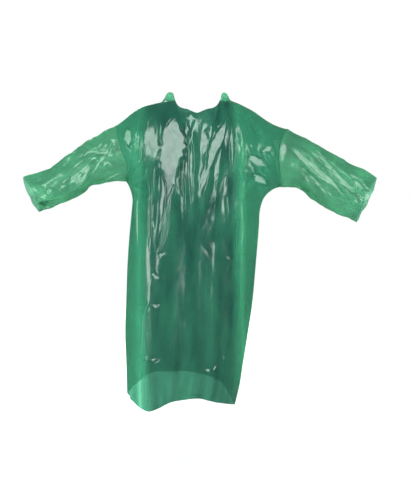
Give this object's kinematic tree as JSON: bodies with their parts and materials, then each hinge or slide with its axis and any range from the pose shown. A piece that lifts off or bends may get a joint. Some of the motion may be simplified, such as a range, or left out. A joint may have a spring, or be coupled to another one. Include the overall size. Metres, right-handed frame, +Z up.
{
  "type": "disposable plastic gown",
  "caption": "Long-sleeved disposable film gown in its worn form, arms held out, open at neck, cuffs and hem.",
  "frame": {"origin": "between the shoulder seams at the base of the neck, where the wearer carries the gown", "axes": "+Z up out of the neck opening, +Y towards the front of the gown, +X towards its right sleeve"},
  "size_m": [1.5138, 0.3604, 1.301],
  "materials": {
    "film": "glossy translucent green film with soft folds"
  },
  "bodies": {
    "root": {"gown_back": "film", "gown_front": "film", "sleeve_left": "film", "sleeve_right": "film"}
  },
  "joints": []
}
